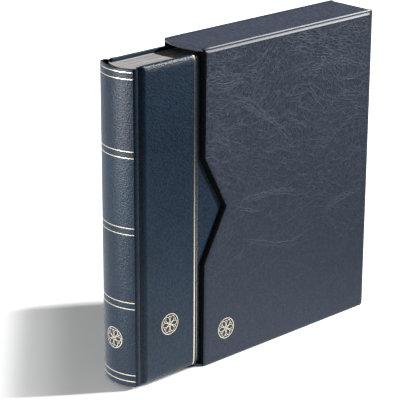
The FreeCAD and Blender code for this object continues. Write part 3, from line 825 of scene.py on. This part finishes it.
def side_corners(inset):
    """The corners of a side drawn in by an inset, counter-clockwise in X and Z: the place, the radius, and
    whether the edge after it is the mouth's (1) or not (0)."""
    mouth = MOUTH + inset
    tip = MOUTH + NOTCH_DEPTH + inset * NOTCH_SLANT
    reach = (tip - mouth) * (NOTCH_HEIGHT / 2) / NOTCH_DEPTH
    middle = CASE_TOP / 2
    corners = ((mouth, inset, MOUTH_CORNER, 0), (REAR - inset, inset, CORNER, 0),
               (REAR - inset, CASE_TOP - inset, CORNER, 0), (mouth, CASE_TOP - inset, MOUTH_CORNER, 1),
               (mouth, middle + reach, NOTCH_SHOULDER, 1), (tip, middle, NOTCH_ROUND + inset / 2, 1),
               (mouth, middle - reach, NOTCH_SHOULDER, 1))
    return [(Vector((x, z)), radius, share) for x, z, radius, share in corners]


def side_outline(inset):
    """The outline of a side drawn in by an inset. Each point has its share of the mouth: 1 on the mouth and
    its notch, 0 on the other edges. All outlines have the same number of points."""
    corners = side_corners(inset)
    full_size = side_corners(0)
    arcs = []
    for index, (place, radius, share) in enumerate(corners):
        following = corners[(index + 1) % len(corners)][0]
        arcs.append(round_corner(corners[index - 1][0], place, following, radius))
    outline = []
    for index, arc in enumerate(arcs):
        after = (index + 1) % len(arcs)
        share_before = corners[index - 1][2]
        share = corners[index][2]
        for spot, part in zip(arc, steps(ARC_STEPS)):
            outline.append((spot, lerp(share_before, share, part)))
        run = (full_size[after][0] - full_size[index][0]).length
        for part in steps(int(run / OUTLINE_STEP) + 1)[1:-1]:
            outline.append((arc[-1].lerp(arcs[after][0], part), share))
    return outline


def rolled_level(inset, reach, fall):
    """How far out a side lies at an inset from an edge that is rolled in."""
    part = max(0.0, 1 - inset / reach)
    return SIDE_FACE - fall * (1 - sqrt(1 - part ** 2))


def beaded(up):
    """1 along the top, where the edge is pressed into beads, fading to 0 down the rear edge."""
    part = part_way(up, CASE_TOP - BEAD_FADE, CASE_TOP - BORDER)
    return part * part * (3 - 2 * part)


def smooth_curve(places):
    """Points about a step apart on a curve through places."""
    ends = [2 * places[0] - places[1], *places, 2 * places[-1] - places[-2]]
    points = []
    for before, start, stop, after in zip(ends, ends[1:], ends[2:], ends[3:]):
        count = max(1, round((stop - start).length / CREASE_STEP))
        for part in steps(count)[:-1]:
            bend = 2 * before - 5 * start + 4 * stop - after
            twist = 3 * start - before - 3 * stop + after
            points.append(start + 0.5 * part * ((stop - before) + part * (bend + part * twist)))
    return points + [places[-1]]


def main_creases(draw, flip):
    """Bundles of long creases that run side by side."""
    for count, *course in CREASE_BUNDLES:
        places = []
        for along, up in course:
            places.append(Vector((MOUTH + along * MM, CASE_TOP - up * MM if flip else up * MM)))
        curve = smooth_curve(places)
        for number in range(count):
            aside = (number - (count - 1) / 2) * BUNDLE_SPREAD * draw.uniform(0.7, 1.2)
            first = int(len(curve) * draw.uniform(0, 0.18))
            last = int(len(curve) * draw.uniform(0.8, 1))
            line = []
            for spot in curve[first:last]:
                wave = ripple(spot, 11 * MM, 2.3 + number) + 0.6 * ripple(spot, 4.5 * MM, 6.2 + number)
                pinch = ripple(spot, 40 * MM, 7.1)
                line.append(spot + Vector((0.25, 1)) * (aside * (0.8 + 0.7 * pinch) + 1.6 * MM * wave))
            yield line, MAIN_CREASE * draw.uniform(0.6, 1.1)


def fine_creases(draw, flip):
    """Short wandering creases, more of them towards the top."""
    lines = []
    while len(lines) < FINE_CREASES:
        spot = Vector((draw.uniform(MOUTH, REAR), draw.uniform(0, CASE_TOP)))
        high = 1 - spot.y / CASE_TOP if flip else spot.y / CASE_TOP
        if draw.random() > 0.06 + 0.94 * high ** 1.3:
            continue
        line = []
        for number in range(draw.randint(6, 22)):
            line.append(spot.copy())
            field = ripple(spot, 75 * MM, 1.9)
            jitter = ripple(spot, 9 * MM, 8.4) + ripple(spot, 3.5 * MM, 4.8)
            angle = -0.15 + 1.5 * field + 0.7 * jitter
            spot += CREASE_STEP * Vector((cos(angle), sin(angle)))
        lines.append((line, FINE_CREASE * draw.uniform(0.5, 1.2) * (0.3 + 0.7 * high)))
    return lines


class Creases:
    """The creases of one side: how high its face stands at a place, and where its mesh needs points."""

    CELL = 2 * MM

    def __init__(self, flip):
        draw = random.Random(11 if flip else 4)
        self.cells = {}
        self.points = []
        for line, height in [*main_creases(draw, flip), *fine_creases(draw, flip)]:
            for index in range(1, len(line) - 1):
                along = (line[index + 1] - line[index - 1]).normalized()
                tall = height * sin(pi * index / (len(line) - 1)) ** 0.6
                spot = line[index]
                self.cells.setdefault(self.cell(spot), []).append((spot, along, tall))
                across = Vector((-along.y, along.x)) * CREASE_HALF
                self.points += [spot + across * part for part in (-1.1, -0.5, 0, 0.5, 1.1)]

    def cell(self, spot):
        return int(spot.x // self.CELL), int(spot.y // self.CELL)

    def height(self, spot):
        column, row = self.cell(spot)
        tallest = 0.0
        for near_column in (column - 1, column, column + 1):
            for near_row in (row - 1, row, row + 1):
                for place, along, tall in self.cells.get((near_column, near_row), ()):
                    gap = spot - place
                    run = max(0.0, abs(gap.dot(along)) - CREASE_STEP / 2)
                    aside = gap.dot(Vector((-along.y, along.x)))
                    part = (run ** 2 + aside ** 2) / CREASE_HALF ** 2
                    if part < 1:
                        tallest = max(tallest, tall * (1 - part) ** 2)
        return tallest


def face_points(border, creases):
    """Places for the points of a side's face: its border's, its creases' and then an even scatter."""
    def cell(spot):
        return round(spot.x / closest), round(spot.y / closest)

    closest = 0.25 * MM
    spacing = 4 * MM
    spots = list(border)
    taken = {cell(spot) for spot in border}
    scatter = []
    for column in range(int((REAR - MOUTH) / spacing)):
        for row in range(int(CASE_TOP / spacing) + 1):
            scatter.append(Vector((MOUTH + column * spacing, (row + 0.5 * (column % 2)) * spacing)))
    for spot in creases.points + scatter:
        if cell(spot) not in taken and well_inside(spot):
            taken.add(cell(spot))
            spots.append(spot)
    return spots


def well_inside(spot):
    """Whether a place in X and Z lies inside the flat part of a side, clear of its border."""
    inset = BORDER + 0.8 * MM
    if not (MOUTH + inset < spot.x < REAR - inset and inset < spot.y < CASE_TOP - inset):
        return False
    tip = MOUTH + NOTCH_DEPTH + inset * NOTCH_SLANT
    return spot.x > tip - abs(spot.y - CASE_TOP / 2) * NOTCH_DEPTH / (NOTCH_HEIGHT / 2)


def triangles(spots, border_count):
    """Points and triangles between points inside a border, whose points come first."""
    edges = [(index, (index + 1) % border_count) for index in range(border_count)]
    points, made_edges, faces, *origins = delaunay_2d_cdt(spots, edges, [], 1, 1e-9)
    return points, faces


def slipcase_side(name, side):
    """A padded side: its rim, two pressed beads or the rolled-in mouth, and a creased face, closed behind."""
    profile = [(CASE_SKIN, STRIP_HALF, STRIP_HALF), (CASE_SKIN, STRIP_HALF, SIDE_INNER),
               (0.15 * MM, STRIP_HALF, SIDE_INNER), (0.0, STRIP_HALF + 0.15 * MM, SIDE_INNER + 0.2 * MM)]
    hidden_rows = len(profile)
    for inset, height in BEADS:
        mouth_out = rolled_level(inset * MM, BORDER, MOUTH_FALL)
        profile.append((inset * MM, STRIP_HALF + height * MM, mouth_out))
    points = []
    shares = []
    insets = []
    for row, (inset, out, mouth_out) in enumerate(profile):
        for spot, share in side_outline(inset):
            level = out
            if row >= hidden_rows:
                level += (rolled_level(inset, EDGE_REACH, EDGE_FALL) - out) * (1 - beaded(spot.y))
            lift = RIM_LIFT * (1 - inset / BORDER) * beaded(spot.y)
            points.append((spot.x, side * lerp(level, mouth_out, share), spot.y + lift))
            shares.append(share)
            insets.append(inset)
    count = len(points) // len(profile)
    faces = lattice(len(profile), count, closed=True)
    finishes = []
    for number, face in enumerate(faces):
        rolled = min(shares[index] for index in face) > 0.5
        # Mouth faces within the rim get the very dark inside paper: real where it turns over the edge,
        # widened towards the top as painted shade
        rim = lerp(*BLACK_RIM_AND_SHADE, points[face[0]][2] / CASE_TOP)
        lining_and_shade = number < hidden_rows * count or max(insets[index] for index in face) < rim
        pressed = 1 if beaded(points[face[0]][2]) > 0.5 else 0
        finishes.append((2 if lining_and_shade else 0) if rolled else pressed)
    last = len(points) - count
    creases = Creases(side > 0)
    border = [Vector((x, z)) for x, y, z in points[last:]]
    inner_points, inner_faces = triangles(face_points(border, creases), count)
    # How high each point stands on a crease, for the painted highlights on the ridges
    crest_highlights = [0.0] * len(points)
    lookup = list(range(last, last + count))
    for spot in inner_points[count:]:
        height = creases.height(spot)
        lookup.append(len(points))
        points.append((spot.x, side * (SIDE_FACE + side_swell(spot.x, spot.y) + height), spot.y))
        crest_highlights.append(min(1.0, height / (0.7 * MAIN_CREASE)))
    faces += [tuple(lookup[index] for index in face) for face in inner_faces]
    back_points, back_faces = triangles([Vector((x, z)) for x, y, z in points[:count]], count)
    faces += flipped(back_faces)
    finishes += [0] * (len(faces) - len(finishes))
    if side > 0:
        faces = flipped(faces)
    materials = [case_leather, pressed_leather, lining_and_rim_shade]
    panel = piece(name, points, faces, materials, "slipcase", 50, finishes)
    panel.data.attributes.new("crest", "FLOAT", "POINT").data.foreach_set("value", crest_highlights)
    which = "front" if side < 0 else "back"
    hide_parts(f"slipcase_{which}_leatherette", f"slipcase_{which}_padding")


def tongue_edge(across):
    """How far the top and bottom reach out of the mouth at a place across the slipcase."""
    radius = (STRIP_HALF ** 2 + TONGUE ** 2) / (2 * TONGUE)
    return TONGUE - radius + sqrt(radius ** 2 - across ** 2)


def strip_path():
    """The strip's path in X and Z from its top mouth edge over the rear to the bottom one, and how far the
    mouth's bulge moves each place."""
    inner = (EDGE_BOARD + CASE_SKIN) / MM
    rim = ((0.55, inner), (0.1, inner - 0.15), (0.0, inner - 0.5), (0.05, 1.35), (0.3, 0.9), (0.75, 0.52),
           (1.3, 0.28), (1.9, 0.12), (2.4, 0.03), (2.9, 0.0), (3.4, 0.06), (3.9, 0.22), (4.6, 0.30),
           (5.4, 0.22), (6.2, 0.10), (7.2, 0.02), (RIM_WIDTH / MM, 0.0))
    spots = [(MOUTH + along * MM, CASE_TOP - below * MM, 1.0) for along, below in rim]
    along_top, round_corner_steps, down_rear = STRIP_STEPS
    turn = REAR - CORNER
    for part in steps(along_top)[1:]:
        spots.append((lerp(MOUTH + RIM_WIDTH, turn, part), CASE_TOP, max(0.0, 1 - part * 4)))
    for part in steps(round_corner_steps)[1:]:
        angle = pi / 2 * (1 - part)
        spots.append((turn + CORNER * cos(angle), CASE_TOP - CORNER + CORNER * sin(angle), 0.0))
    for part in steps(down_rear)[1:-1]:
        spots.append((REAR, lerp(CASE_TOP - CORNER, CORNER, part), 0.0))
    top_half = [spot for spot in spots if spot[1] > CASE_TOP / 2]
    return top_half + [(x, CASE_TOP - z, bulge) for x, z, bulge in reversed(top_half)]


def slipcase_edge():
    """The smooth strip round top, rear and bottom, with its rim along both mouth edges."""
    path = strip_path()
    outer = []
    inner = []
    for x, z, bulge in path:
        if z > CASE_TOP - CORNER:
            inward = Vector((0, -1))
        elif z < CORNER:
            inward = Vector((0, 1))
        else:
            inward = Vector((-1, 0))
        in_rim = x < MOUTH + RIM_TURN
        for part in steps(ACROSS_STEPS):
            y = (2 * part - 1) * STRIP_HALF
            soft = SOFT_EDGE * part_way(abs(y), STRIP_HALF - SOFT_REACH, STRIP_HALF) ** 2
            spot = Vector((x - bulge * tongue_edge(y), z))
            outside = spot if in_rim else spot + inward * soft
            inside = spot + (Vector((RIM_SKIN, 0)) if in_rim else inward * CASE_SKIN)
            outer.append((outside.x, y, outside.y))
            inner.append((inside.x, y, inside.y))
    strip = piece("slipcase_edge_wrap", outer + inner, shell(len(path), ACROSS_STEPS + 1), [strip_leather],
                  "slipcase", 50)
    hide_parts("slipcase_edge_strip")


# Stage, light and camera

FLOOR_COLOUR = (0.89, 0.89, 0.89)
FLOOR_CONTACT_SHADOW = (0.13, 0.14, 0.16)
FLOOR_BOUNCE = (0.55, 0.55, 0.55)
FAR_FLOOR_BOUNCE = (0.10, 0.10, 0.10)
FLOOR_REACH = 12.0
BOUNCE_CENTRE = (-0.15, 0, 0)
BOUNCE_FADE = (0.15, 0.42)
CONTACT_REACH = 0.012
CONTACT_FADE = (0.42, 0.52)
SHADOW_CENTRE = (-0.17, 0.10, 0)
SHADOW_FADE = (0.10, 0.40)
SHADOW_BLUR = 0.03
LEFTWARDS = (-0.766, 0.642, 0)
LEFT_FADES = ((0.19, 0.25, 0.0, 0.22), (0.235, 0.275, 0.0, 0.5))
FRONT_FADE = (0.006 - COVER_FACE, 0.001 - COVER_FACE)
BRIGHT_CENTRE = (-0.55, 0.45, 0)
BRIGHT_FADE = (0.72, 1.12)
WORLD_LIGHT = 0.05
WORLD_GLOSS = 0.32
KEY_WAY = (1.5, -1.0)
KEY_HEIGHT = radians(22)
KEY_LIGHT = 5.6
KEY_SIZE = radians(3.5)

# Each softbox: its name, place, target, power in watts, width and height
SOFTBOXES = (
    ("left_softbox", (-1.45, 0.18, 0.16), (-0.2, 0, 0.15), 35, 0.8, 0.6),
    ("front_softbox", (1.14, -1.55, 0.45), (-0.1, 0, 0.25), 3.2, 1.0, 0.4),
    ("rear_softbox", (0.1, 1.8, 0.30), (0, 0, 0.16), 12, 1.4, 0.5),
)

# The camera's place is measured from the foot of the slipcase's front mouth edge
CAMERA_PLACE = (-1.0632, -1.1292, 0.7253)
CAMERA_TURNS = (-43.16, 19.65, -0.22)
FOCAL_LENGTH = 158.9


def radial(nodes, centre, reach):
    """0 within the first distance of a place on the floor, 1 beyond the second."""
    away = nodes.vector_math("DISTANCE", nodes.place, centre)["Value"]
    return nodes.ramp(away, *reach, course="SMOOTHSTEP")


def shadow_fade(nodes):
    """How far the floor is lifted to white: 0 in the object's shadow, 1 away from it."""
    left = nodes.vector_math("DOT_PRODUCT", nodes.place, LEFTWARDS)["Value"]
    fading = [nodes.ramp(left, *fade, course="SMOOTHSTEP") for fade in LEFT_FADES]
    around = nodes.math("MULTIPLY", radial(nodes, SHADOW_CENTRE, SHADOW_FADE), 0.75)
    front = nodes.ramp(nodes.axis("Y"), *FRONT_FADE, 0.0, 0.5)
    sideways = Vector((-KEY_WAY[1], KEY_WAY[0])).normalized()
    across = nodes.vector_math("DOT_PRODUCT", nodes.place, (*sideways, 0))["Value"]
    near_edge = sideways.dot(Vector((APEX + SPINE_ROUND, -COVER_FACE)))
    far_edge = sideways.dot(Vector((REAR, SIDE_FACE)))
    near = nodes.ramp(across, near_edge, near_edge - SHADOW_BLUR, 0.0, 0.5)
    far = nodes.ramp(across, far_edge, far_edge + SHADOW_BLUR, 0.0, 0.5)
    level = nodes.math("ADD", *fading, around, nodes.math("MAXIMUM", near, far), front)
    return nodes.math("MINIMUM", level, 1.0)


def stage():
    """A wide floor. The camera sees it pale, and white away from the object's shadow, but it lights the
    object less than that."""
    nodes = Material("floor")
    path = nodes.add("LightPath")
    bounce = nodes.blend(radial(nodes, BOUNCE_CENTRE, BOUNCE_FADE), FLOOR_BOUNCE, FAR_FLOOR_BOUNCE)
    contact = nodes.add("AmbientOcclusion", {"Distance": CONTACT_REACH}, samples=8)
    free = nodes.ramp(contact["AO"], *CONTACT_FADE)
    # Where the floor is closed in, under the album, the camera sees it painted dark as a contact shadow
    colour = nodes.blend(path["Is Camera Ray"], bounce, nodes.blend(free, FLOOR_CONTACT_SHADOW, FLOOR_COLOUR))
    nodes.finish(colour, 0.9, Specular_IOR_Level=0.1)
    seen = nodes.math("MULTIPLY", path["Is Camera Ray"], shadow_fade(nodes), free)
    mirrored = nodes.math("MAXIMUM", path["Is Glossy Ray"], path["Is Transmission Ray"])
    bright = nodes.math("SUBTRACT", 1.0, radial(nodes, BRIGHT_CENTRE, BRIGHT_FADE))
    strength = nodes.math("ADD", seen, nodes.math("MULTIPLY", mirrored, bright))
    glow = nodes.add("Emission", {"Color": (1, 1, 1), "Strength": strength})
    both = nodes.add("AddShader", {0: nodes.shader.outputs["BSDF"], 1: glow["Emission"]})
    nodes.feed(nodes.tree.nodes["Material Output"].inputs["Surface"], both["Shader"])
    mesh = bpy.data.meshes.new("floor")
    corners = [(FLOOR_REACH * x, FLOOR_REACH * y, 0) for x, y in ((-1, -1), (1, -1), (1, 1), (-1, 1))]
    mesh.from_pydata(corners, [], [(0, 1, 2, 3)])
    mesh.materials.append(nodes.material)
    floor = new_object("floor", mesh)


def world():
    """White where the camera looks, and a low even light elsewhere."""
    sky = bpy.data.worlds.new("studio")
    bpy.context.scene.world = sky
    nodes = Nodes(sky)
    path = nodes.add("LightPath")
    strength = nodes.ramp(path["Is Glossy Ray"], 0, 1, WORLD_LIGHT, WORLD_GLOSS)
    for ray in ("Is Transmission Ray", "Is Camera Ray"):
        strength = nodes.ramp(path[ray], 0, 1, strength, 1.0)
    background = nodes.tree.nodes["Background"].inputs
    nodes.feed(background["Color"], (1, 1, 1))
    nodes.feed(background["Strength"], strength)


def lamp(kind, name, place, target, energy, **settings):
    light = bpy.data.lights.new(name, kind)
    light.energy = energy
    for key, value in settings.items():
        setattr(light, key, value)
    item = new_object(name, light)
    item.location = place
    item.rotation_euler = (Vector(target) - Vector(place)).to_track_quat("-Z", "Y").to_euler()


def lights():
    away = Vector((*KEY_WAY, 0)).normalized()
    high = Vector((0, 0, tan(KEY_HEIGHT)))
    lamp("SUN", "key_from_right", away + high, (0, 0, 0), KEY_LIGHT, angle=KEY_SIZE)
    for name, place, target, power, width, height in SOFTBOXES:
        lamp("AREA", name, place, target, power, shape="RECTANGLE", size=width, size_y=height)


def camera():
    """The photograph's viewpoint."""
    lens = bpy.data.cameras.new("camera")
    lens.sensor_width = 36
    lens.lens = FOCAL_LENGTH
    lens.clip_end = 100
    azimuth, pitch, roll = [radians(angle) for angle in CAMERA_TURNS]
    place = Matrix.Translation(Vector((MOUTH, -SIDE_FACE, 0)) + Vector(CAMERA_PLACE))
    turn = Matrix.Rotation(azimuth, 4, "Z") @ Matrix.Rotation(pi / 2 - pitch, 4, "X")
    item = new_object("camera", lens)
    item.matrix_world = place @ turn @ Matrix.Rotation(-roll, 4, "Z")
    bpy.context.scene.camera = item


bpy.context.scene.view_settings.view_transform = "Standard"
dress_nodes()
album_cover()
spine_lines()
cover_line("cover_gold_line_0", *COVER_LINES[0], line_foil)
cover_line("cover_gold_line_1", *COVER_LINES[1], shaded_foil)
slipcase_side("slipcase_front_side", -1)
slipcase_side("slipcase_back_side", 1)
slipcase_edge()
rosettes()
stage()
world()
lights()
camera()
